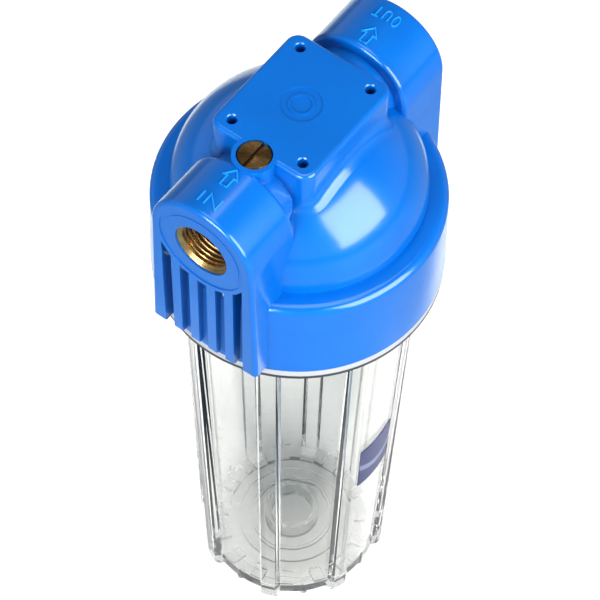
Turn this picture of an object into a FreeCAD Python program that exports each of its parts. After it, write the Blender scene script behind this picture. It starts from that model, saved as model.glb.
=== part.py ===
"""Cartridge filter housing: a screw head with two ports, a clear bowl, seals and an air vent.

Millimetres, +Z up.  The origin is on the bowl's axis at the level that its feet stand on.
The inlet is on the -X side and the outlet on the +X side.
"""
import FreeCAD, Part
import math
import os

from FreeCAD import Vector

os.makedirs("parts", exist_ok=True)

UP = Vector(0, 0, 1)
ORIGIN = Vector(0, 0, 0)

# ---------------------------------------------------------------- head, outside
HEIGHT = 312.0            # feet to top plate
COLLAR_R = 56.0           # screw collar, outside, at its lower edge
COLLAR_TOP_R = 54.9
COLLAR_BOTTOM = 224.0
SHELF_Z = 262.8           # flat shelf on top of the collar
COLLAR_ROUND = 3.5        # rounded outer edge of the shelf
DOME_R = 47.4
DOME_BASE_Z = 265.8
DOME_RISE = 38.0
DOME_STEP_R = 46.7        # short upright wall below the dome's edge
PLATE_X, PLATE_Y = 51.0, 43.4
PLATE_CORNER_R = 5.0
PLATE_EDGE_ROUND = 1.6
PLATE_BLEND_R = 7.0       # hollow blend between plate and dome
PLATE_ROOT_Z = 282.0
BADGE_R, BADGE_DEPTH = 7.6, 0.35
BADGE_RING_R = 4.8

# ---------------------------------------------------------------- ports
PORT_Z = 288.6
PORT_FACE_X = 57.8
ARCH_R = 22.2             # crown radius of a port arch, and its half width there
ARCH_CENTRE_Z = 289.0
ARCH_FOOT_HALF = 24.0     # half width at the bottom
ARCH_BOTTOM = 226.0
ARCH_INNER_X = 33.0
ARCH_FACE_ROUND = 1.8
ARCH_INNER_ROUND = 1.8
ARCH_FOOT_CHAMFER = 0.8
SLOT_COUNT, SLOT_PITCH, SLOT_WIDTH = 5, 7.9, 4.1
SLOT_TOP_R = 20.1         # the slots stop on this circle about the port
SLOT_FLOOR_X = 48.6
FACE_RING_R, FACE_RING_DEPTH = 18.3, 0.35
FACE_LAND_R, FACE_LAND_HEIGHT = 16.4, 0.2
NECK_R = 17.6
MOUTH_R, MOUTH_DEPTH = 11.3, 0.5
CHANNEL_R = 8.0
OUTLET_TUBE_R = 11.5

# ---------------------------------------------------------------- brass port inserts, G 1/2
INSERT_BORE_R = 9.315     # minor radius of the parallel pipe thread
INSERT_CHAMFER_R = 10.9
INSERT_CHAMFER = 1.2
INSERT_R = 13.2
INSERT_GROOVE_R = 12.3
INSERT_LENGTH = 21.0
INSERT_GROOVES = 3

# ---------------------------------------------------------------- head, inside
CAVITY_R = 51.6           # root of the head's thread
MOUTH_SEAL_R, MOUTH_SEAL_Z = 52.5, 228.4
THREAD_TOP_Z = 251.4
SEAL_WALL_R = 49.6
CEILING_Z = 257.6
INNER_DOME_R = 42.8
INNER_DOME_Z = 262.0
INNER_DOME_RISE = 31.5
TUBE_R, TUBE_BORE_R = 17.0, 8.5
SEAT_Z = 256.5            # top seat of the filter cartridge
SPIGOT_R, SPIGOT_Z = 13.4, 250.0

# ---------------------------------------------------------------- bowl thread
PITCH = 6.0
FEMALE_CREST_R = 49.7
MALE_CREST_R = 50.9
RIDGE_ROOT, RIDGE_CREST = 2.6, 1.4
FEMALE_START_Z, FEMALE_TURNS = 229.6, 3.3
MALE_LAG = 3.0            # male ridge runs this far above the female one, half a pitch
MALE_TURNS = 2.2

# ---------------------------------------------------------------- bowl
FLANGE_R = 55.8
FLANGE_BOTTOM, FLANGE_TOP = 217.8, 223.7
FLANGE_UNDERCUT = 0.9
BOWL_NECK_R = 48.6
BOWL_TOP_Z = 256.8
NECK_BORE_R = 44.6
WALL_TOP_R, WALL_BASE_R = 45.4, 38.9
WALL_INNER_TOP_R, WALL_INNER_BASE_R = 42.0, 35.5
FLOOR_Z = 5.0
BASE_Z = 0.8              # underside of the bowl between its feet
BASE_ROUND = 1.4
RIB_COUNT = 8
RIB_TOP_R, RIB_BASE_R = 47.4, 41.8
RIB_TOP_W, RIB_BASE_W = 8.8, 7.6
RIB_FLANK = 1.2           # each rib is this much wider at its root, on each side
RIB_EDGE = 0.8            # its outer edges are taken off by this much
RIB_SINK = 1.6            # its root reaches this far into the wall
FOOT_INNER_R, FOOT_OUTER_R = 33.0, 39.8
FOOT_ROUND = 3.4          # rounded lower outer corner of a foot
BUMP_W, BUMP_R, BUMP_HEIGHT = 3.6, 39.4, 9.0
PAD_COUNT, PAD_W, PAD_INNER_R, PAD_TOP_Z = 16, 5.0, 28.6, 7.6
STEP_R, STEP_Z = 23.7, 6.6
LOWER_SEAT_R, LOWER_SEAT_W, LOWER_SEAT_Z = 18.5, 1.4, 8.2
CUP_R, CUP_BORE_R, CUP_Z = 12.2, 9.6, 15.5

# ---------------------------------------------------------------- seals
SEAL_SECTION_R = 1.55
BOWL_SEAL_R, BOWL_SEAL_Z = 47.75, 254.3
SEAL_GROOVE_R, SEAL_GROOVE_W = 46.0, 3.8
DUST_SEAL_R, DUST_SEAL_Z = 50.6, 225.9
DUST_SECTION_R = 1.5

# ---------------------------------------------------------------- air vent
VENT_X = -27.0
VENT_BOSS_R = 8.1
VENT_BOSS_ROOT_Z = 287.0
VENT_POCKET_R, VENT_POCKET_Z = 6.45, 305.4
VENT_HOLE_R, VENT_HOLE_Z = 4.75, 299.4
VENT_PIN_R = 1.5
VENT_HEAD_R, VENT_HEAD_TOP, VENT_HEAD_BOTTOM = 6.15, 311.7, 307.9
VENT_WAIST_R, VENT_WAIST_Z = 4.2, 305.6
VENT_SHANK_R, VENT_SHANK_Z = 4.5, 300.4
VENT_SLOT_W, VENT_SLOT_DEPTH = 1.5, 1.7
VENT_SEAL_R, VENT_SEAL_SECTION_R, VENT_SEAL_Z = 5.3, 0.9, 306.65

# ---------------------------------------------------------------- fixing holes in the top plate
HOLE_SPACING_X, HOLE_SPACING_Y = 39.6, 30.6
HOLE_R, HOLE_DEPTH, HOLE_CHAMFER = 1.9, 13.0, 0.4

# ---------------------------------------------------------------- label
LABEL_FROM_DEG, LABEL_TO_DEG = 256.3, 283.7
LABEL_BOTTOM, LABEL_TOP = 90.5, 120.5
LABEL_THICKNESS, LABEL_GAP = 0.3, 0.02


# ================================================================ helpers
def revolved(start, *steps):
    """Solid of revolution about Z.

    The outline is in (radius, z).  A step is a point, or a pair (middle, end) for an arc.
    """
    first = Vector(start[0], 0, start[1])
    here = first
    edges = []
    for step in steps + (start,):
        if isinstance(step[0], tuple):
            middle = Vector(step[0][0], 0, step[0][1])
            end = Vector(step[1][0], 0, step[1][1])
            edges.append(Part.Arc(here, middle, end).toShape())
        else:
            end = Vector(step[0], 0, step[1])
            if (end - here).Length < 1e-6:
                continue
            edges.append(Part.makeLine(here, end))
        here = end
    return Part.Face(Part.Wire(edges)).revolve(ORIGIN, UP, 360)


def half_ellipsoid(radius, rise, base_z):
    """Upper half of an ellipsoid of revolution about Z, wider than it is high, on base_z."""
    centre = Vector(0, 0, base_z)
    edge = Vector(radius, 0, base_z)
    top = Vector(0, 0, base_z + rise)
    quarter = Part.ArcOfEllipse(Part.Ellipse(edge, top, centre), 0, math.pi / 2).toShape()
    outline = Part.Wire([Part.makeLine(centre, edge), quarter, Part.makeLine(top, centre)])
    return Part.Face(outline).revolve(ORIGIN, UP, 360)


def disc(radius, bottom, top, x=0.0, y=0.0):
    return Part.makeCylinder(radius, top - bottom, Vector(x, y, bottom))


def port_cylinder(radius, x_from, x_to):
    """Cylinder about the port axis between two distances from the bowl's axis, on the +X side."""
    return Part.makeCylinder(radius, x_to - x_from, Vector(x_from, 0, PORT_Z), Vector(1, 0, 0))


def turned(shape, degrees):
    copy = shape.copy()
    copy.rotate(ORIGIN, UP, degrees)
    return copy


def moved(shape, x=0.0, y=0.0, z=0.0):
    copy = shape.copy()
    copy.translate(Vector(x, y, z))
    return copy


def both_sides(shape):
    """The shape on the +X side and the same shape turned to the -X side."""
    return [shape, turned(shape, 180)]


def one_solid(shape):
    """The single solid in a boolean result, with its seam faces merged."""
    clean = shape.removeSplitter()
    solids = sorted(clean.Solids, key=lambda solid: solid.Volume)
    return solids[-1]


def export(name, shape):
    assert shape.isValid(), name
    shape.exportStep("parts/" + name + ".step")
    print(name, "volume", round(shape.Volume), "solids", len(shape.Solids), "faces", len(shape.Faces))


def thread_ridge(base_r, crest_r, start_z, turns):
    """Helical ridge of trapezoid section; its root is sunk a little into the wall it stands on."""
    sink = 0.4 if crest_r > base_r else -0.4
    root_r = base_r - sink
    helix = Part.makeHelix(PITCH, PITCH * turns, root_r)
    half_root = RIDGE_ROOT / 2 + 0.12
    half_crest = RIDGE_CREST / 2
    corners = [Vector(root_r, 0, -half_root), Vector(crest_r, 0, -half_crest),
               Vector(crest_r, 0, half_crest), Vector(root_r, 0, half_root)]
    section = Part.makePolygon(corners + corners[:1])
    sweep = Part.BRepOffsetAPI.MakePipeShell(Part.Wire(helix.Edges))
    sweep.setFrenetMode(True)
    sweep.add(section)
    sweep.build()
    sweep.makeSolid()
    ridge = sweep.shape()
    if ridge.Volume < 0:
        ridge.reverse()
    return moved(ridge, z=start_z)


# ================================================================ head
def collar():
    corner_mid = COLLAR_ROUND * (1 - math.sqrt(0.5))
    return revolved((0, COLLAR_BOTTOM), (COLLAR_R, COLLAR_BOTTOM),
                    (COLLAR_TOP_R, SHELF_Z - COLLAR_ROUND),
                    ((COLLAR_TOP_R - corner_mid, SHELF_Z - corner_mid),
                     (COLLAR_TOP_R - COLLAR_ROUND, SHELF_Z)),
                    (0, SHELF_Z))


def dome():
    step = revolved((0, SHELF_Z - 1), (DOME_STEP_R, SHELF_Z - 1), (DOME_STEP_R, DOME_BASE_Z - 0.9),
                    (DOME_R, DOME_BASE_Z - 0.5), (DOME_R, DOME_BASE_Z), (0, DOME_BASE_Z))
    return step.fuse(half_ellipsoid(DOME_R, DOME_RISE, DOME_BASE_Z))


def plate():
    """Rounded rectangular block whose top is the mounting plate."""
    block = Part.makeBox(PLATE_X, PLATE_Y, HEIGHT - PLATE_ROOT_Z,
                         Vector(-PLATE_X / 2, -PLATE_Y / 2, PLATE_ROOT_Z))
    corners = [edge for edge in block.Edges
               if abs(edge.Vertexes[0].X - edge.Vertexes[1].X) < 1e-6
               and abs(edge.Vertexes[0].Y - edge.Vertexes[1].Y) < 1e-6]
    return block.makeFillet(PLATE_CORNER_R, corners)


def plate_on_dome():
    """Dome and plate as one body, blended together, with the plate's top edge rounded."""
    body = one_solid(dome().fuse(plate()))
    seam = [edge for edge in body.Edges
            if edge.BoundBox.ZMin > DOME_BASE_Z + 10 and edge.BoundBox.ZMax < HEIGHT - 4
            and edge.BoundBox.DiagonalLength > 1
            and abs(edge.BoundBox.Center.x) + abs(edge.BoundBox.Center.y) > 15
            and edge.BoundBox.ZLength < 12]
    body = body.makeFillet(PLATE_BLEND_R, seam)
    rim = [edge for edge in body.Edges if edge.BoundBox.ZMin > HEIGHT - 0.01]
    return body.makeFillet(PLATE_EDGE_ROUND, rim)


def arch():
    """Port arch on the +X side: half-round crown, sides that spread downwards, slots below the port."""
    left = Vector(ARCH_INNER_X, ARCH_R, ARCH_CENTRE_Z)
    right = Vector(ARCH_INNER_X, -ARCH_R, ARCH_CENTRE_Z)
    crown = Vector(ARCH_INNER_X, 0, ARCH_CENTRE_Z + ARCH_R)
    low_left = Vector(ARCH_INNER_X, ARCH_FOOT_HALF, ARCH_BOTTOM)
    low_right = Vector(ARCH_INNER_X, -ARCH_FOOT_HALF, ARCH_BOTTOM)
    outline = Part.Wire([Part.Arc(left, crown, right).toShape(), Part.makeLine(right, low_right),
                         Part.makeLine(low_right, low_left), Part.makeLine(low_left, left)])
    body = Part.Face(outline).extrude(Vector(PORT_FACE_X - ARCH_INNER_X, 0, 0))

    def rim(x):
        return [edge for edge in body.Edges
                if edge.BoundBox.XLength < 0.01 and abs(edge.BoundBox.XMin - x) < 0.01
                and edge.BoundBox.ZMax > ARCH_BOTTOM + 1]
    body = body.makeFillet(ARCH_FACE_ROUND, rim(PORT_FACE_X))
    body = body.makeFillet(ARCH_INNER_ROUND, rim(ARCH_INNER_X))
    lower_edge = [edge for edge in body.Edges
                  if edge.BoundBox.ZMax < ARCH_BOTTOM + 0.01
                  and edge.BoundBox.XMin > (ARCH_INNER_X + PORT_FACE_X) / 2]
    body = body.makeChamfer(ARCH_FOOT_CHAMFER, lower_edge)
    boss = port_cylinder(SLOT_TOP_R, SLOT_FLOOR_X - 1, PORT_FACE_X + 1)
    slots = []
    for index in range(SLOT_COUNT):
        y = (index - (SLOT_COUNT - 1) / 2) * SLOT_PITCH
        slot = Part.makeBox(PORT_FACE_X - SLOT_FLOOR_X + 1, SLOT_WIDTH, PORT_Z - ARCH_BOTTOM + 1,
                            Vector(SLOT_FLOOR_X, y - SLOT_WIDTH / 2, ARCH_BOTTOM - 1))
        slots.append(slot.cut(boss))
    return body.cut(slots)


def port_face_cut():
    """What is taken off the port's face: a shallow ring step, and the mouth of the bore."""
    ring = port_cylinder(FACE_RING_R, PORT_FACE_X - FACE_RING_DEPTH, PORT_FACE_X + 1)
    land = port_cylinder(FACE_LAND_R, PORT_FACE_X - FACE_RING_DEPTH - 1,
                         PORT_FACE_X - FACE_RING_DEPTH + FACE_LAND_HEIGHT)
    mouth = port_cylinder(MOUTH_R, PORT_FACE_X - FACE_RING_DEPTH - MOUTH_DEPTH, PORT_FACE_X + 1)
    return ring.cut(land).fuse(mouth)


def head_cavity():
    """The space inside the collar and the dome, without the centre tube."""
    bore = revolved((0, COLLAR_BOTTOM - 1), (MOUTH_SEAL_R, COLLAR_BOTTOM - 1),
                    (MOUTH_SEAL_R, MOUTH_SEAL_Z), (CAVITY_R, MOUTH_SEAL_Z + 0.9),
                    (CAVITY_R, THREAD_TOP_Z), (SEAL_WALL_R, THREAD_TOP_Z + 1.2),
                    (SEAL_WALL_R, CEILING_Z), (INNER_DOME_R, CEILING_Z),
                    (INNER_DOME_R, INNER_DOME_Z), (0, INNER_DOME_Z))
    return bore.fuse(half_ellipsoid(INNER_DOME_R, INNER_DOME_RISE, INNER_DOME_Z))


def vent_cut():
    pocket = disc(VENT_POCKET_R, VENT_POCKET_Z, HEIGHT + 1, VENT_X)
    hole = disc(VENT_HOLE_R, VENT_HOLE_Z, VENT_POCKET_Z + 1, VENT_X)
    pin = disc(VENT_PIN_R, PORT_Z, VENT_HOLE_Z + 1, VENT_X)
    return pocket.fuse([hole, pin])


def fixing_holes():
    holes = []
    for x_side in (-1, 1):
        for y_side in (-1, 1):
            x = x_side * HOLE_SPACING_X / 2
            y = y_side * HOLE_SPACING_Y / 2
            hole = disc(HOLE_R, HEIGHT - HOLE_DEPTH, HEIGHT + 1, x, y)
            chamfer = Part.makeCone(HOLE_R, HOLE_R + HOLE_CHAMFER, HOLE_CHAMFER,
                                    Vector(x, y, HEIGHT - HOLE_CHAMFER))
            holes.append(hole.fuse(chamfer))
    return holes


def badge_cut():
    """Shallow round recess in the plate, with a plain raised ring in it."""
    recess = disc(BADGE_R, HEIGHT - BADGE_DEPTH, HEIGHT + 1)
    ring = disc(BADGE_RING_R, HEIGHT - BADGE_DEPTH - 1, HEIGHT + 2)
    ring = ring.cut(disc(BADGE_RING_R - 1.0, HEIGHT - BADGE_DEPTH - 1, HEIGHT + 2))
    return recess.cut(ring)


def head():
    body = collar().fuse([plate_on_dome()] + both_sides(arch())
                         + both_sides(port_cylinder(NECK_R, 5, ARCH_INNER_X + 3))
                         + [disc(VENT_BOSS_R, VENT_BOSS_ROOT_Z, HEIGHT, VENT_X)])
    body = one_solid(body)
    body = body.cut(head_cavity())
    centre_tube = disc(TUBE_R, SEAT_Z, INNER_DOME_Z + INNER_DOME_RISE)
    spigot = disc(SPIGOT_R, SPIGOT_Z, SEAT_Z + 1)
    outlet_tube = port_cylinder(OUTLET_TUBE_R, 0, ARCH_INNER_X)
    body = body.fuse([centre_tube, spigot, outlet_tube,
                      thread_ridge(CAVITY_R, FEMALE_CREST_R, FEMALE_START_Z, FEMALE_TURNS)])
    insert_from = PORT_FACE_X - FACE_RING_DEPTH - MOUTH_DEPTH - INSERT_LENGTH
    inlet = turned(port_cylinder(CHANNEL_R, TUBE_R + 2, insert_from + 1), 180)
    outlet = port_cylinder(CHANNEL_R, 0, insert_from + 1)
    down = disc(TUBE_BORE_R, SPIGOT_Z - 1, PORT_Z)
    down = down.fuse(Part.makeSphere(TUBE_BORE_R, Vector(0, 0, PORT_Z)))
    cuts = [inlet, outlet, down, vent_cut(), badge_cut()] + fixing_holes()
    cuts += both_sides(port_face_cut()) + both_sides(insert_blank())
    return one_solid(body.cut(cuts))


# ================================================================ port inserts
def insert_blank():
    """Outside of a brass insert on the +X side: a grooved barrel held by the moulding."""
    front = PORT_FACE_X - FACE_RING_DEPTH - MOUTH_DEPTH
    back = front - INSERT_LENGTH
    barrel = port_cylinder(INSERT_R, back, front)
    step = INSERT_LENGTH / (INSERT_GROOVES + 0.5)
    for index in range(INSERT_GROOVES):
        x = back + step * (index + 0.75)
        ring = port_cylinder(INSERT_R + 1, x, x + step / 3)
        barrel = barrel.cut(ring.cut(port_cylinder(INSERT_GROOVE_R, x - 1, x + step)))
    return barrel


def port_insert():
    front = PORT_FACE_X - FACE_RING_DEPTH - MOUTH_DEPTH
    bore = port_cylinder(INSERT_BORE_R, 0, front + 1)
    chamfer = Part.makeCone(INSERT_BORE_R, INSERT_CHAMFER_R, INSERT_CHAMFER,
                            Vector(front - INSERT_CHAMFER, 0, PORT_Z), Vector(1, 0, 0))
    return one_solid(insert_blank().cut([bore, chamfer]))


# ================================================================ air vent
def vent_screw():
    """Slotted brass screw; its slot lies along X."""
    body = revolved((0, VENT_SHANK_Z), (VENT_SHANK_R - 0.8, VENT_SHANK_Z),
                    (VENT_SHANK_R, VENT_SHANK_Z + 0.8), (VENT_SHANK_R, VENT_WAIST_Z - 0.4),
                    (VENT_WAIST_R, VENT_WAIST_Z), (VENT_WAIST_R, VENT_HEAD_BOTTOM),
                    (VENT_HEAD_R, VENT_HEAD_BOTTOM), (VENT_HEAD_R, VENT_HEAD_TOP - 0.3),
                    (VENT_HEAD_R - 0.3, VENT_HEAD_TOP), (0, VENT_HEAD_TOP))
    slot = Part.makeBox(2 * VENT_HEAD_R + 2, VENT_SLOT_W, VENT_SLOT_DEPTH + 1,
                        Vector(-VENT_HEAD_R - 1, -VENT_SLOT_W / 2, VENT_HEAD_TOP - VENT_SLOT_DEPTH))
    return moved(one_solid(body.cut(slot)), x=VENT_X)


# ================================================================ bowl
def wall_radius(z):
    """Outer radius of the bowl's wall between its ribs."""
    return WALL_BASE_R + (WALL_TOP_R - WALL_BASE_R) * z / FLANGE_BOTTOM


def rib():
    """One upright rib on the +X side, as a loft between its base and top sections."""
    sections = []
    for z, outer_r, width in ((0.0, RIB_BASE_R, RIB_BASE_W), (FLANGE_BOTTOM + 1, RIB_TOP_R, RIB_TOP_W)):
        root_x = wall_radius(z) - RIB_SINK
        half = width / 2
        root = half + RIB_FLANK
        points = [Vector(root_x, -root, z), Vector(outer_r - RIB_EDGE, -half, z),
                  Vector(outer_r, -half + RIB_EDGE, z), Vector(outer_r, half - RIB_EDGE, z),
                  Vector(outer_r - RIB_EDGE, half, z), Vector(root_x, root, z)]
        sections.append(Part.makePolygon(points + points[:1]))
    return Part.makeLoft(sections, True, True)


def foot():
    """Flat pad under a rib; the bowl stands on eight of these."""
    return Part.makeBox(FOOT_OUTER_R - FOOT_INNER_R, RIB_BASE_W, BASE_Z + 1.0,
                        Vector(FOOT_INNER_R, -RIB_BASE_W / 2, 0))


def base_bump():
    """Small ridge between two ribs at the bottom of the bowl."""
    body = Part.makeCylinder(BUMP_W / 2, BUMP_HEIGHT, Vector(BUMP_R - BUMP_W / 2, 0, BASE_Z))
    root = Part.makeBox(6, BUMP_W, BUMP_HEIGHT,
                        Vector(BUMP_R - BUMP_W / 2 - 6, -BUMP_W / 2, BASE_Z))
    return body.fuse(root)


def bowl_outside():
    shell = revolved((0, BASE_Z), (wall_radius(0) - BASE_ROUND, BASE_Z),
                     ((wall_radius(0) - 0.75, BASE_Z + 0.75), (wall_radius(0), BASE_Z + BASE_ROUND)),
                     (WALL_TOP_R, FLANGE_BOTTOM), (FLANGE_R - FLANGE_UNDERCUT, FLANGE_BOTTOM),
                     (FLANGE_R, FLANGE_BOTTOM + FLANGE_UNDERCUT), (FLANGE_R, FLANGE_TOP),
                     (BOWL_NECK_R, FLANGE_TOP), (BOWL_NECK_R, BOWL_TOP_Z - 1.0),
                     (BOWL_NECK_R - 1.0, BOWL_TOP_Z), (0, BOWL_TOP_Z))
    pieces = []
    for index in range(RIB_COUNT):
        angle = 360.0 * index / RIB_COUNT
        pieces.append(turned(rib().fuse(foot()), angle + 180.0 / RIB_COUNT))
        pieces.append(turned(base_bump(), angle))
    return shell.fuse(pieces)


def bowl_inside():
    return revolved((0, FLOOR_Z), (WALL_INNER_BASE_R - 3, FLOOR_Z),
                    ((WALL_INNER_BASE_R - 0.8, FLOOR_Z + 0.9), (WALL_INNER_BASE_R, FLOOR_Z + 3)),
                    (WALL_INNER_TOP_R, FLANGE_BOTTOM - 1), (NECK_BORE_R, FLANGE_TOP + 3),
                    (NECK_BORE_R, BOWL_TOP_Z + 1), (0, BOWL_TOP_Z + 1))


def bowl_floor_parts():
    """Raised disc, lower cartridge seat, centring cup, and the ring of blocks at the edge."""
    sink = 1.0
    step = disc(STEP_R, FLOOR_Z - sink, STEP_Z)
    seat = disc(LOWER_SEAT_R, STEP_Z - sink, LOWER_SEAT_Z)
    seat = seat.cut(disc(LOWER_SEAT_R - LOWER_SEAT_W, STEP_Z - 2 * sink, LOWER_SEAT_Z + sink))
    cup = disc(CUP_R, STEP_Z - sink, CUP_Z).cut(disc(CUP_BORE_R, STEP_Z - 2 * sink, CUP_Z + sink))
    parts = [step, seat, cup]
    for index in range(PAD_COUNT):
        block = Part.makeBox(WALL_INNER_BASE_R + 1 - PAD_INNER_R, PAD_W, PAD_TOP_Z - FLOOR_Z + sink,
                             Vector(PAD_INNER_R, -PAD_W / 2, FLOOR_Z - sink))
        parts.append(turned(block, 360.0 * (index + 0.5) / PAD_COUNT))
    return parts


def feet_trim():
    """Rounds the lower outer corner of every foot."""
    corner = FOOT_ROUND * (1 - math.sqrt(0.5))
    return revolved((RIB_BASE_R - FOOT_ROUND, -1), (RIB_BASE_R + 6, -1), (RIB_BASE_R + 6, FOOT_ROUND),
                    (RIB_BASE_R + 0.3, FOOT_ROUND),
                    ((RIB_BASE_R + 0.3 - corner, corner), (RIB_BASE_R - FOOT_ROUND, -0.02)))


def bowl():
    body = bowl_outside().cut(bowl_inside())
    body = body.fuse(bowl_floor_parts()
                     + [thread_ridge(BOWL_NECK_R, MALE_CREST_R, FEMALE_START_Z + MALE_LAG,
                                     MALE_TURNS)])
    groove = disc(BOWL_NECK_R + 2, BOWL_SEAL_Z - SEAL_GROOVE_W / 2, BOWL_SEAL_Z + SEAL_GROOVE_W / 2)
    groove = groove.cut(disc(SEAL_GROOVE_R, BOWL_SEAL_Z - SEAL_GROOVE_W, BOWL_SEAL_Z + SEAL_GROOVE_W))
    underside = disc(FOOT_INNER_R - 3, BASE_Z - 2, BASE_Z + 1.1)
    return one_solid(body.cut([groove, underside, feet_trim()]))


def ring_seal(centre_r, section_r, z, x=0.0):
    return Part.makeTorus(centre_r, section_r, Vector(x, 0, z))


def label():
    """Film on the bowl's wall between two ribs."""
    def shell(offset):
        return revolved((0, LABEL_BOTTOM), (wall_radius(LABEL_BOTTOM) + offset, LABEL_BOTTOM),
                        (wall_radius(LABEL_TOP) + offset, LABEL_TOP), (0, LABEL_TOP))
    film = shell(LABEL_GAP + LABEL_THICKNESS).cut(shell(LABEL_GAP))
    reach = 2 * WALL_TOP_R
    span = math.radians(LABEL_TO_DEG - LABEL_FROM_DEG)
    wedge = Part.Face(Part.makePolygon([
        ORIGIN, Vector(reach, 0, 0), Vector(reach * math.cos(span), reach * math.sin(span), 0),
        ORIGIN])).extrude(Vector(0, 0, HEIGHT))
    return one_solid(film.common(turned(wedge, LABEL_FROM_DEG)))


# ================================================================ build
insert = port_insert()
export("head", head())
export("outlet_insert", insert)
export("inlet_insert", turned(insert, 180))
export("vent_screw", vent_screw())
export("vent_seal", ring_seal(VENT_SEAL_R, VENT_SEAL_SECTION_R, VENT_SEAL_Z, VENT_X))
export("bowl", bowl())
export("bowl_seal", ring_seal(BOWL_SEAL_R, SEAL_SECTION_R, BOWL_SEAL_Z))
export("dust_seal", ring_seal(DUST_SEAL_R, DUST_SECTION_R, DUST_SEAL_Z))
export("label", label())
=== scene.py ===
"""Looks of the cartridge filter housing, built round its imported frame.  Metres, +Z up."""
import math

import bmesh
import bpy
from mathutils import Matrix, Quaternion, Vector


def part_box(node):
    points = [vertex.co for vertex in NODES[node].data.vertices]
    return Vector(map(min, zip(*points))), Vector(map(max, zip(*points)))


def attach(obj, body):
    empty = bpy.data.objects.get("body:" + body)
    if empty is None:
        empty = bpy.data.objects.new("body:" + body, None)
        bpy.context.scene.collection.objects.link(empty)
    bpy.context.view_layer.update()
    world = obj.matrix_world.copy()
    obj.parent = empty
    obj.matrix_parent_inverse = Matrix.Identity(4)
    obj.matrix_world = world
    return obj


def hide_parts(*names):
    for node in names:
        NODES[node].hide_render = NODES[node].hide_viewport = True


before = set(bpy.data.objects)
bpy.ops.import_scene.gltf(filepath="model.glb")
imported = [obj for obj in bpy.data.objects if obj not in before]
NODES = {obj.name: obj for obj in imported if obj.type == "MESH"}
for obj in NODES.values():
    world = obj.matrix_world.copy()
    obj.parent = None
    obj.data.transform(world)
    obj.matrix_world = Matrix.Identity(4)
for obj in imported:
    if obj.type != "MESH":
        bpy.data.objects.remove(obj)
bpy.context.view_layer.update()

MM = 0.001
INSERT_LOW, INSERT_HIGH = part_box("outlet_insert")
SCREW_LOW, SCREW_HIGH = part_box("vent_screw")
LABEL_LOW, LABEL_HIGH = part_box("label")
FLANGE_R, FLANGE_LOW_Z = 55.8 * MM, 217.8 * MM      # outer face and underside of the bowl's flange
SLOT_FLOOR_X, PORT_FACE_X = 48.6 * MM, 57.4 * MM    # floor and mouth of the slots under each port
SLOT_SIDE_Y = 20.2 * MM                             # the outermost slots end here, either side
SLOT_LOW_Z, SLOT_TOP_Z = 226.2 * MM, 281.5 * MM
PORT_Z = (INSERT_LOW.z + INSERT_HIGH.z) / 2
VENT_X = (SCREW_LOW.x + SCREW_HIGH.x) / 2


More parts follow.
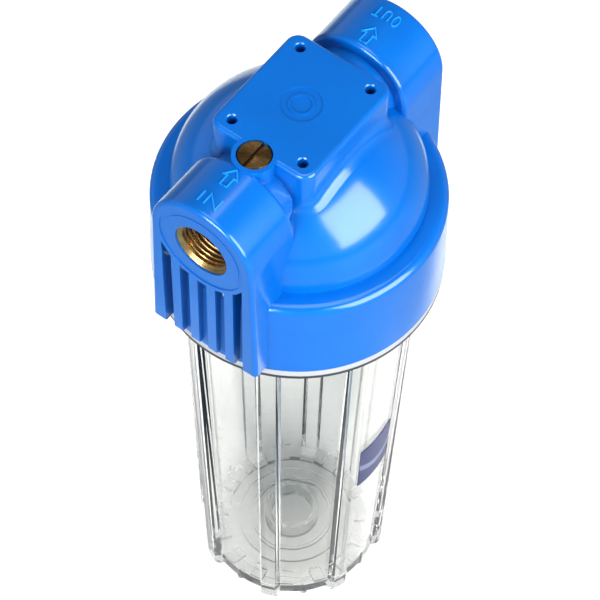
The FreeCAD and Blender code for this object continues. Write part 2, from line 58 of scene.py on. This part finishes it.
# ================================================================ node helpers
class Nodes:
    """A material's node tree, with short calls for the nodes that are used here."""

    def __init__(self, name):
        self.material = bpy.data.materials.new(name)
        self.material.use_nodes = True
        self.tree = self.material.node_tree
        self.shader = self.tree.nodes["Principled BSDF"]

    def link(self, output, node, socket):
        self.tree.links.new(output, node.inputs[socket])

    def set(self, **values):
        """Constants on the shader's own sockets; underscores stand for spaces."""
        for name, value in values.items():
            self.shader.inputs[name.replace("_", " ")].default_value = value

    def object_coordinates(self, centre=(0, 0, 0)):
        """Position in the frame, in metres, measured from a centre."""
        position = self.tree.nodes.new("ShaderNodeTexCoord").outputs["Object"]
        shift = self.tree.nodes.new("ShaderNodeVectorMath")
        shift.operation = "SUBTRACT"
        self.tree.links.new(position, shift.inputs[0])
        shift.inputs[1].default_value = centre
        return shift.outputs[0]

    def noise(self, where, scale, detail=3.0, roughness=0.5, distortion=0.0):
        node = self.tree.nodes.new("ShaderNodeTexNoise")
        self.link(where, node, "Vector")
        node.inputs["Scale"].default_value = scale
        node.inputs["Detail"].default_value = detail
        node.inputs["Roughness"].default_value = roughness
        node.inputs["Distortion"].default_value = distortion
        return node.outputs["Fac"]

    def spread(self, value, low, high, to_low, to_high):
        """Maps low..high to to_low..to_high, clamped."""
        node = self.tree.nodes.new("ShaderNodeMapRange")
        self.link(value, node, "Value")
        for name, number in (("From Min", low), ("From Max", high), ("To Min", to_low),
                             ("To Max", to_high)):
            node.inputs[name].default_value = number
        return node.outputs["Result"]

    def math(self, operation, first, second=0.0, third=0.0):
        node = self.tree.nodes.new("ShaderNodeMath")
        node.operation = operation
        for index, value in enumerate((first, second, third)):
            if isinstance(value, (int, float)):
                node.inputs[index].default_value = value
            else:
                self.tree.links.new(value, node.inputs[index])
        return node.outputs[0]

    def split(self, vector):
        node = self.tree.nodes.new("ShaderNodeSeparateXYZ")
        self.link(vector, node, "Vector")
        return node.outputs["X"], node.outputs["Y"], node.outputs["Z"]

    def ramp(self, value, *stops):
        """Colour ramp; a stop is (position, (r, g, b))."""
        node = self.tree.nodes.new("ShaderNodeValToRGB")
        self.link(value, node, "Fac")
        elements = node.color_ramp.elements
        while len(elements) < len(stops):
            elements.new(1.0)
        for element, (position, colour) in zip(elements, stops):
            element.position = position
            element.color = (*colour, 1.0)
        return node.outputs["Color"]

    def mix(self, share, first, second):
        node = self.tree.nodes.new("ShaderNodeMix")
        node.data_type = "RGBA"
        inputs = [socket for socket in node.inputs if socket.enabled]
        for socket, value in zip(inputs, (share, first, second)):
            if isinstance(value, (int, float)):
                socket.default_value = value
            elif isinstance(value, tuple):
                socket.default_value = (*value, 1.0)
            else:
                self.tree.links.new(value, socket)
        return [socket for socket in node.outputs if socket.enabled][0]

    def bump(self, height, distance, strength):
        node = self.tree.nodes.new("ShaderNodeBump")
        self.link(height, node, "Height")
        node.inputs["Distance"].default_value = distance
        node.inputs["Strength"].default_value = strength
        return node.outputs["Normal"]

    def distance(self, first, second):
        """Distance from the axis that two coordinates are measured from."""
        return self.math("SQRT", self.math("ADD", self.math("MULTIPLY", first, first),
                                           self.math("MULTIPLY", second, second)))

    def surface(self, **sources):
        """Links computed values to the shader's sockets."""
        for name, source in sources.items():
            self.link(source, self.shader, name.replace("_", " "))
        return self.material


# ================================================================ materials
def blue_plastic(name="blue_plastic", dark=(0.0, 0.116, 0.48), light=(0.0, 0.131, 0.53)):
    """Moulded glossy polypropylene: faint flow swirls, handling haze, and painted shade down in the port
    slots.
    """
    n = Nodes(name)
    where = n.object_coordinates()
    swirl = n.noise(where, 38, detail=3, distortion=0.4)
    colour = n.ramp(swirl, (0.3, dark), (0.7, light))
    x, y, z = n.split(where)
    outward, sideways = n.math("ABSOLUTE", x), n.math("ABSOLUTE", y)
    # Painted shade: the port slots darken towards their floor, where light reaches least.
    slot_shade_mask = n.spread(outward, SLOT_FLOOR_X, PORT_FACE_X, 1.0, 0.0)
    for value, low, high, at_low, at_high in (
            (outward, SLOT_FLOOR_X - 0.8 * MM, SLOT_FLOOR_X - 0.2 * MM, 0.0, 1.0),
            (sideways, SLOT_SIDE_Y, SLOT_SIDE_Y + 0.5 * MM, 1.0, 0.0),
            (z, SLOT_TOP_Z - 1.0 * MM, SLOT_TOP_Z, 1.0, 0.0),
            (z, SLOT_LOW_Z, SLOT_LOW_Z + 1.0 * MM, 0.0, 1.0)):
        slot_shade_mask = n.math("MULTIPLY", slot_shade_mask, n.spread(value, low, high, at_low, at_high))
    painted_slot_shade = n.math("MULTIPLY", n.math("SQRT", slot_shade_mask), 0.85)
    colour = n.mix(painted_slot_shade, colour, (0.0, 0.012, 0.12))
    haze = n.noise(where, 90, detail=3)
    n.set(IOR=1.49, Specular_IOR_Level=0.3, Coat_Weight=0.8, Coat_Roughness=0.15, Coat_IOR=1.65)
    n.set(Specular_Tint=(0.1, 0.7, 1.0, 1.0), Coat_Tint=(0.7, 0.95, 1.0, 1.0))
    return n.surface(Base_Color=colour, Roughness=n.spread(haze, 0.3, 0.75, 0.29, 0.38))


def clear_plastic():
    """Clear bowl: a trace of grey, light rubbing marks, and a frosted flange with a painted dark
    reflection along its foot.
    """
    n = Nodes("clear_plastic")
    where = n.object_coordinates()
    x, y, z = n.split(where)
    outer = n.spread(n.distance(x, y), FLANGE_R - 1.6 * MM, FLANGE_R - 0.2 * MM, 0.0, 1.0)
    above = n.spread(z, FLANGE_LOW_Z, FLANGE_LOW_Z + 0.2 * MM, 0.0, 1.0)
    frost = n.math("MULTIPLY", outer, above)
    # Painted reflection: a near-black line along the flange's foot stands in for the dark inside seen
    # reflected in its underside.
    painted_foot_reflection = n.spread(z, FLANGE_LOW_Z + 2.4 * MM, FLANGE_LOW_Z + 2.8 * MM, 1.0, 0.0)
    band = n.mix(painted_foot_reflection, (0.5, 0.51, 0.52), (0.04, 0.042, 0.045))
    tint = n.noise(where, 24, detail=1)
    rub = n.noise(where, 260, detail=7, roughness=0.7)
    rough = n.spread(rub, 0.5, 0.85, 0.02, 0.07)
    clear = n.ramp(tint, (0.3, (0.835, 0.84, 0.82)), (0.7, (0.855, 0.86, 0.84)))
    n.set(IOR=1.36)
    return n.surface(Base_Color=n.mix(frost, clear, band),
                     Roughness=n.math("MAXIMUM", rough, n.math("MULTIPLY", frost, 0.45)),
                     Transmission_Weight=n.spread(frost, 0.0, 1.0, 1.0, 0.12),
                     Normal=n.bump(rub, 0.004 * MM, 0.2))


RING_RATE = 42000.0               # radians of the lathe rings' wave to a metre of radius


def turned_brass(name, centre, axis, *colours):
    """Brass with the fine rings that a lathe leaves about an axis ("X" or "Z"), dulled in places.

    The colours go from the dullest to the brightest.
    """
    n = Nodes(name)
    where = n.object_coordinates(centre)
    x, y, z = n.split(where)
    radius = n.distance(y, z) if axis == "X" else n.distance(x, y)
    jitter = n.math("MULTIPLY", n.noise(where, 900, detail=2), 5.0)
    rings = n.math("SINE", n.math("MULTIPLY_ADD", radius, RING_RATE, jitter))
    tarnish = n.noise(where, 210, detail=6, roughness=0.7)
    colour = n.ramp(tarnish, *zip((0.3, 0.55, 0.8), colours))
    n.set(Metallic=1.0)
    return n.surface(Base_Color=colour, Roughness=n.spread(tarnish, 0.3, 0.75, 0.36, 0.2),
                     Normal=n.bump(rings, 0.01 * MM, 0.5))


def seal_rubber():
    """Black nitrile with a dusty bloom."""
    n = Nodes("seal_rubber")
    where = n.object_coordinates()
    bloom = n.noise(where, 420, detail=5, roughness=0.6)
    colour = n.ramp(bloom, (0.35, (0.012, 0.012, 0.013)), (0.8, (0.045, 0.045, 0.048)))
    n.set(Specular_IOR_Level=0.4)
    return n.surface(Base_Color=colour, Roughness=n.spread(bloom, 0.3, 0.7, 0.38, 0.6),
                     Normal=n.bump(n.noise(where, 3200), 0.02 * MM, 0.4))


BAND_CURVE, BAND_SLOPE = -38.0, 0.12        # how the label's bands sag and lean, in 1/metre and as a slope


def label_film():
    """Violet-blue film with plain paler bands and no text."""
    n = Nodes("label_film")
    centre = (LABEL_LOW + LABEL_HIGH) / 2
    where = n.object_coordinates(centre)
    x, _, z = n.split(where)
    half = (LABEL_HIGH.z - LABEL_LOW.z) / 2
    sweep = n.math("MULTIPLY_ADD", n.math("MULTIPLY", x, x), BAND_CURVE, z)
    band = n.math("ADD", sweep, n.math("MULTIPLY", x, BAND_SLOPE))
    height = n.spread(band, -half, half, 0.0, 1.0)
    film = n.ramp(height, (0.0, (0.012, 0.018, 0.09)), (0.27, (0.014, 0.02, 0.1)),
                  (0.33, (0.16, 0.18, 0.3)), (0.41, (0.17, 0.19, 0.31)),
                  (0.46, (0.014, 0.02, 0.1)), (0.9, (0.018, 0.025, 0.11)),
                  (1.0, (0.055, 0.068, 0.23)))
    wear = n.noise(where, 1500, detail=5, roughness=0.7)
    colour = n.mix(n.spread(wear, 0.45, 0.8, 0.0, 0.3), film, (0.13, 0.14, 0.27))
    n.set(IOR=1.2)
    return n.surface(Base_Color=colour, Roughness=n.spread(wear, 0.3, 0.7, 0.28, 0.45),
                     Normal=n.bump(n.noise(where, 600), 0.03 * MM, 0.4))


CARD_BEFORE = (0.06, 0.085)       # the card fades in over this reach before the part, in metres
CARD_BESIDE = (0.15, 0.2)         # and over this one beside it


def floor_paint():
    """White table lit a little from below; it turns to grey-blue card beside and before the part."""
    n = Nodes("pale_floor")
    where = n.object_coordinates()
    x, y, _ = n.split(where)
    turn = math.radians(CAMERA_AZIMUTH)
    forward = n.math("ADD", n.math("MULTIPLY", x, math.sin(turn)),
                     n.math("MULTIPLY", y, -math.cos(turn)))
    sideways = n.math("ABSOLUTE", n.math("ADD", n.math("MULTIPLY", x, math.cos(turn)),
                                         n.math("MULTIPLY", y, math.sin(turn))))
    beside = n.math("MULTIPLY_ADD", forward, 0.12, sideways)
    card = n.math("MAXIMUM", n.spread(forward, *CARD_BEFORE, 0.0, 1.0),
                  n.spread(beside, *CARD_BESIDE, 0.0, 1.0))
    patch = n.noise(where, 3, detail=4)
    white = n.ramp(patch, (0.3, (0.9, 0.905, 0.91)), (0.7, (0.92, 0.925, 0.93)))
    n.set(Specular_IOR_Level=0.2)
    n.set(Emission_Color=(1.0, 1.0, 1.0, 1.0))
    return n.surface(Base_Color=n.mix(card, white, (0.2, 0.26, 0.31)),
                     Emission_Strength=n.spread(card, 0.0, 1.0, 0.25, 0.0),
                     Roughness=n.spread(patch, 0.3, 0.7, 0.55, 0.65))


# ================================================================ meshes
def piece(name, bm, material, body, smooth_below=35):
    """An object from a bmesh, shaded smooth below an angle, riding on a body."""
    bmesh.ops.recalc_face_normals(bm, faces=bm.faces)
    mesh = bpy.data.meshes.new(name)
    bm.to_mesh(mesh)
    bm.free()
    mesh.materials.append(material)
    obj = bpy.data.objects.new(name, mesh)
    bpy.context.scene.collection.objects.link(obj)
    mesh.shade_smooth()
    mesh.set_sharp_from_angle(angle=math.radians(smooth_below))
    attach(obj, body)
    return obj


def repaint(node, material):
    """Gives a node from the frame its finished material."""
    mesh = NODES[node].data
    mesh.materials.clear()
    mesh.materials.append(material)


TALL = 20 * MM                    # a wall's faces are at least this high and this far from the axis
FACET = math.radians(3.5)         # a round wall's facets face straight outwards within this
SOFT_EDGE = math.radians(25)      # a neighbour within this angle takes over the exact normal
LEVEL = 0.9999                    # Z of a flat face's normal
SAME_NORMAL = 0.001               # radians between normals that count as one


def true_wall_normals(node):
    """Exact shading normals on a node's tall round walls and flat faces, so it refracts cleanly."""
    mesh = NODES[node].data
    normals = [corner.vector.copy() for corner in mesh.corner_normals]
    exact = {}
    for face in mesh.polygons:
        corners = [mesh.vertices[index].co for index in face.vertices]
        heights = [co.z for co in corners]
        across = Vector((face.normal.x, face.normal.y, 0))
        outward = Vector((face.center.x, face.center.y, 0))
        flat = abs(face.normal.z) > LEVEL
        if not flat:
            if max(heights) - min(heights) < TALL or outward.length < TALL:
                continue
            side = math.copysign(1.0, across.dot(outward))
            if (outward * side).angle(across) > FACET:
                continue
        for loop, index, co in zip(face.loop_indices, face.vertices, corners):
            normal = face.normal.copy()
            if not flat:
                radial = Vector((co.x, co.y, 0)).normalized() * side * across.length
                normal = Vector((radial.x, radial.y, face.normal.z))
            normals[loop] = normal
            exact.setdefault(index, []).append(normal)
    for face in mesh.polygons:
        for loop, index in zip(face.loop_indices, face.vertices):
            for normal in exact.get(index, ()):
                if SAME_NORMAL < normals[loop].angle(normal) and face.normal.angle(normal) < SOFT_EDGE:
                    normals[loop] = normal
    mesh.normals_split_custom_set(normals)


# ---------------------------------------------------------------- brass insert with a real thread
THREAD_PITCH = 25.4 / 14 * MM     # G 1/2: 14 turns to the inch
THREAD_MINOR = 9.315 * MM
THREAD_MAJOR = 10.40 * MM
THREAD_FLAT = 0.14                # share of the thread's height cut flat at its root and at its crest
THREAD_ROUND = 0.25               # share of rounding in its flank
THREAD_TURN_STEPS = 72
THREAD_ROW_STEPS = 12             # rows of faces in one pitch
MOUTH_R = 10.95 * MM              # wide end of the bore's countersink
MOUTH_DEPTH = 1.2 * MM
GROOVES = 3                       # round the barrel's outside
GROOVE_DEPTH = 0.9 * MM
BACK_BEVEL, FRONT_BEVEL = 0.4 * MM, 0.3 * MM
MOUTH_RIM = 0.25 * MM             # a narrow flat ring round the mouth


def thread_radius(depth, angle):
    """Wall radius of the bore at a depth behind its mouth: a V thread, rounded a little."""
    phase = (depth / THREAD_PITCH - angle / (2 * math.pi)) % 1.0
    rise = 1 - abs(2 * phase - 1)
    flank = min(max((rise - THREAD_FLAT) / (1 - 2 * THREAD_FLAT), 0.0), 1.0)
    smooth = flank * flank * (3 - 2 * flank)
    eased = flank * (1 - THREAD_ROUND) + smooth * THREAD_ROUND
    return THREAD_MINOR + (THREAD_MAJOR - THREAD_MINOR) * eased


def insert_mesh(side):
    """Grooved brass barrel with a threaded bore; side is +1 for the outlet and -1 for the inlet."""
    front, back = INSERT_HIGH.x, INSERT_LOW.x
    outer = (INSERT_HIGH.z - INSERT_LOW.z) / 2
    length = front - back
    rows = [(0.0, lambda angle: MOUTH_R)]
    row_count = int(length / THREAD_PITCH * THREAD_ROW_STEPS)
    for row in range(1, row_count + 1):
        depth = length * row / row_count

        def radius(angle, depth=depth):
            cone = MOUTH_R - (MOUTH_R - THREAD_MINOR) * min(depth / MOUTH_DEPTH, 1.0)
            return max(thread_radius(depth, angle), cone)
        rows.append((depth, radius))
    groove = outer - GROOVE_DEPTH
    spacing = length / (GROOVES + 0.5)
    outline = [(length, outer - BACK_BEVEL), (length - BACK_BEVEL, outer)]
    for index in range(GROOVES):
        deep = length - spacing * (index + 0.75)
        near = deep - spacing / 3
        outline += [(deep, outer), (deep, groove), (near, groove), (near, outer)]
    outline += [(FRONT_BEVEL, outer), (0.0, outer - FRONT_BEVEL), (0.0, MOUTH_R + MOUTH_RIM)]
    for depth, r in outline:
        rows.append((depth, lambda angle, r=r: r))
    bm = bmesh.new()
    rings = []
    for depth, radius in rows:
        ring_verts = []
        for step in range(THREAD_TURN_STEPS):
            angle = 2 * math.pi * step / THREAD_TURN_STEPS
            r = radius(angle)
            ring_verts.append(bm.verts.new((side * (front - depth),
                                            r * math.cos(angle) * side,
                                            PORT_Z + r * math.sin(angle))))
        rings.append(ring_verts)
    for first, second in zip(rings, rings[1:] + rings[:1]):
        for step in range(THREAD_TURN_STEPS):
            after = (step + 1) % THREAD_TURN_STEPS
            bm.faces.new((first[step], first[after], second[after], second[step]))
    return bm


# ---------------------------------------------------------------- raised marks on the port crowns
MARK_HEIGHT = 0.4 * MM
MARK_ROOT = -0.25 * MM            # the line's foot is sunk in the crown
MARK_LINE = 0.62 * MM             # width at the foot
MARK_BEVEL = 0.22                 # share of the width that each side leans in
MARK_STEP = 0.6 * MM              # spacing of the points along a line
ARCH_R = 22.2 * MM                # a port arch's crown
ARCH_CENTRE_Z = 289.0 * MM


SHARPEST_MITRE = 0.35             # keeps an outline from shooting out at a sharp corner


def stroke_points(points, width):
    """Left and right outline of a line of constant width through flat points."""
    left, right = [], []
    for index, point in enumerate(points):
        before = points[max(index - 1, 0)]
        after = points[min(index + 1, len(points) - 1)]
        incoming = (Vector(point) - Vector(before)).normalized() if index else None
        outgoing = (Vector(after) - Vector(point)).normalized() if index < len(points) - 1 else None
        one = incoming or outgoing
        two = outgoing or incoming
        normal = Vector((-(one.y + two.y), one.x + two.x)).normalized()
        reach = width / 2 / max(normal.dot(Vector((-one.y, one.x))), SHARPEST_MITRE)
        left.append(Vector(point) + normal * reach)
        right.append(Vector(point) - normal * reach)
    return left, right


def raised_stroke(bm, points, closed):
    """A raised line along flat points, laid on a port arch's crown."""
    if closed:
        points = points + points[:2]
    dense = [Vector(points[0])]
    for start, end in zip(points, points[1:]):
        count = max(1, int((Vector(end) - Vector(start)).length / MARK_STEP))
        for step in range(1, count + 1):
            dense.append(Vector(start).lerp(Vector(end), step / count))
    left, right = stroke_points(dense, MARK_LINE)
    rows = []
    for a, b in zip(left, right):
        inward = (b - a).normalized() * MARK_LINE * MARK_BEVEL
        section = ((a, MARK_ROOT), (a + inward, MARK_HEIGHT), (b - inward, MARK_HEIGHT), (b, MARK_ROOT))
        rows.append([bm.verts.new(crown_surface(point.x, point.y, lift)) for point, lift in section])
    for first, second in zip(rows, rows[1:]):
        for index in range(4):
            after = (index + 1) % 4
            bm.faces.new((first[index], second[index], second[after], first[after]))
    bm.faces.new(rows[0])
    bm.faces.new(list(reversed(rows[-1])))


def crown_surface(x, y, lift):
    """Point on a port arch's crown, lifted off it along the local normal."""
    reach = math.sqrt(max(ARCH_R * ARCH_R - y * y, 0.0))
    tilt = math.asin(y / ARCH_R)
    return Vector((x, y + lift * math.sin(tilt), ARCH_CENTRE_Z + reach + lift * math.cos(tilt)))


def oval(centre, half_x, half_y, count=28):
    """Closed ring of flat points."""
    return [(centre[0] + half_x * math.cos(2 * math.pi * k / count),
             centre[1] + half_y * math.sin(2 * math.pi * k / count)) for k in range(count)]


def marks(name, lines, start_x, start_y, up, material):
    """Raised marks on a crown: lines are (points, closed), in millimetres along the text and up it.

    Text starts at start_x, start_y, in millimetres of the frame, and its up is +X or -X (up = 1 or -1).
    """
    bm = bmesh.new()
    for points, closed in lines:
        flat = [((start_x + up * v) * MM, (start_y - up * u) * MM) for u, v in points]
        raised_stroke(bm, flat, closed)
    piece(name, bm, material, "head", smooth_below=50)


LETTER = 4.7                      # height of a letter, in millimetres
LETTERS = {
    "I": [([(0, 0), (0, LETTER)], False)],
    "N": [([(0, 0), (0, LETTER), (4.8, 0), (4.8, LETTER)], False)],
    "T": [([(0, LETTER), (2.5, LETTER)], False), ([(1.25, LETTER), (1.25, 0)], False)],
    "U": [([(0, LETTER), (0, 1.1), (0.35, 0.35), (1.0, 0), (1.2, 0), (1.85, 0.35), (2.2, 1.1),
            (2.2, LETTER)], False)],
    "O": [(oval((1.1, LETTER / 2), 1.1, LETTER / 2), True)],
}
ARROW = [(0, 0), (2.9, 0), (2.9, 4.2), (4.35, 4.2), (1.45, 7.7), (-1.45, 4.2), (0, 4.2)]


def word(letters, gap):
    """Lines of a short word."""
    lines, start = [], 0.0
    for letter in letters:
        width = max(u for points, _ in LETTERS[letter] for u, _ in points)
        lines += [([(u + start, v) for u, v in points], closed) for points, closed in LETTERS[letter]]
        start += width + gap
    return lines


def port_marks(material):
    """IN and OUT with flow arrows, as simple raised lines."""
    arrow = [(ARROW, True)]
    for name, lines, start_x, start_y, up in (
            ("mark_in", word("IN", 2.7), -53.2, 4.5, 1), ("mark_in_arrow", arrow, -43.3, 2.4, 1),
            ("mark_out", word("OUT", 1.6), 52.9, -5.5, -1), ("mark_out_arrow", arrow, 35.8, 1.0, 1)):
        marks(name, lines, start_x, start_y, up, material)


# ================================================================ stage
FLOOR_R = 6.0
LIGHT_AIM = Vector((0, 0, 0.28))  # in the head


def floor(material):
    """Round floor at the foot of the part."""
    bm = bmesh.new()
    bmesh.ops.create_circle(bm, cap_ends=True, segments=96, radius=FLOOR_R)
    mesh = bpy.data.meshes.new("floor")
    bm.to_mesh(mesh)
    bm.free()
    mesh.materials.append(material)
    obj = bpy.data.objects.new("floor", mesh)
    bpy.context.scene.collection.objects.link(obj)


def softbox(name, azimuth, elevation, distance, size, power, turn=0.0):
    """Area light aimed at the head: degrees, metres, watts; azimuth is measured from +X towards +Y."""
    a, e = math.radians(azimuth), math.radians(elevation)
    away = Vector((math.cos(a) * math.cos(e), math.sin(a) * math.cos(e), math.sin(e)))
    data = bpy.data.lights.new(name, "AREA")
    data.shape = "RECTANGLE"
    data.size, data.size_y = size
    data.energy = power
    obj = bpy.data.objects.new(name, data)
    obj.location = LIGHT_AIM + away * distance
    obj.rotation_mode = "QUATERNION"
    obj.rotation_quaternion = (away.to_track_quat("Z", "Y")
                               @ Quaternion((0, 0, 1), math.radians(turn)))
    bpy.context.scene.collection.objects.link(obj)


def sky():
    """Pale surroundings, brighter at the horizon than overhead."""
    world = bpy.data.worlds.new("studio")
    bpy.context.scene.world = world
    world.use_nodes = True
    tree = world.node_tree
    background = tree.nodes["Background"]
    where = tree.nodes.new("ShaderNodeTexCoord").outputs["Generated"]
    split = tree.nodes.new("ShaderNodeSeparateXYZ")
    tree.links.new(where, split.inputs[0])
    ramp = tree.nodes.new("ShaderNodeValToRGB")
    tree.links.new(split.outputs["Z"], ramp.inputs[0])
    stops = ((0.1, (0.5, 0.51, 0.53, 1.0)), (0.6, (0.13, 0.135, 0.14, 1.0)))
    for element, (position, colour) in zip(ramp.color_ramp.elements, stops):
        element.position = position
        element.color = colour
    tree.links.new(ramp.outputs[0], background.inputs["Color"])
    background.inputs["Strength"].default_value = 0.9


CAMERA_AZIMUTH, CAMERA_ELEVATION, CAMERA_ROLL = -54.57, 57.61, 1.51   # degrees
CAMERA_DISTANCE = 0.93931         # from the aimed point
CAMERA_LENS = 143.6               # millimetres, on a 36 mm sensor
CAMERA_AIM_Z = 0.18487
CAMERA_AIM_RIGHT = 0.00128        # off the part's axis, to the view's right


def camera():
    """Camera at the photo's angle."""
    a, e, roll = (math.radians(v) for v in (CAMERA_AZIMUTH, CAMERA_ELEVATION, CAMERA_ROLL))
    back = Vector((math.sin(a) * math.cos(e), -math.cos(a) * math.cos(e), math.sin(e)))
    right = Vector((math.cos(a), math.sin(a), 0))
    up = back.cross(right)
    turned_right = right * math.cos(roll) + up * math.sin(roll)
    turned_up = up * math.cos(roll) - right * math.sin(roll)
    data = bpy.data.cameras.new("camera")
    data.lens = CAMERA_LENS
    data.sensor_width = 36.0
    data.clip_start = 0.05
    obj = bpy.data.objects.new("camera", data)
    rotation = Matrix((turned_right, turned_up, back)).transposed().to_4x4()
    place = Vector((0, 0, CAMERA_AIM_Z)) + right * CAMERA_AIM_RIGHT + back * CAMERA_DISTANCE
    obj.matrix_world = Matrix.Translation(place) @ rotation
    bpy.context.scene.collection.objects.link(obj)
    bpy.context.scene.camera = obj


# ================================================================ build
repaint("head", blue_plastic())
repaint("bowl", clear_plastic())
true_wall_normals("bowl")
repaint("label", label_film())
rubber = seal_rubber()
for seal in ("bowl_seal", "dust_seal", "vent_seal"):
    repaint(seal, rubber)
# The vent screw's brass gets much darker colours than the ports': a painted dark reflection of the
# surroundings it mirrors.
repaint("vent_screw", turned_brass("vent_brass", (VENT_X, 0, 0), "Z", (0.07, 0.035, 0.012),
                                   (0.2, 0.115, 0.045), (0.36, 0.22, 0.1)))
port_brass = turned_brass("port_brass", (0, 0, PORT_Z), "X", (0.30, 0.18, 0.07),
                          (0.56, 0.37, 0.15), (0.74, 0.53, 0.26))
for name, side in (("outlet_insert", 1), ("inlet_insert", -1)):
    threaded = piece(name + "_threaded", insert_mesh(side), port_brass, "head")
    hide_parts(name)
# The raised marks get a paler blue: a painted highlight for the light that their edges catch.
port_marks(blue_plastic("blue_plastic_painted_highlight", (0.0, 0.27, 0.86), (0.01, 0.31, 0.92)))

floor(floor_paint())
sky()
softbox("key", azimuth=-92, elevation=26, distance=1.5, size=(1.23, 1.23), power=40, turn=4)
softbox("left", azimuth=183, elevation=24, distance=1.7, size=(1.0, 0.8), power=34)
softbox("top", azimuth=40, elevation=86, distance=1.5, size=(1.0, 1.0), power=7)
camera()
bpy.context.scene.view_settings.view_transform = "Standard"
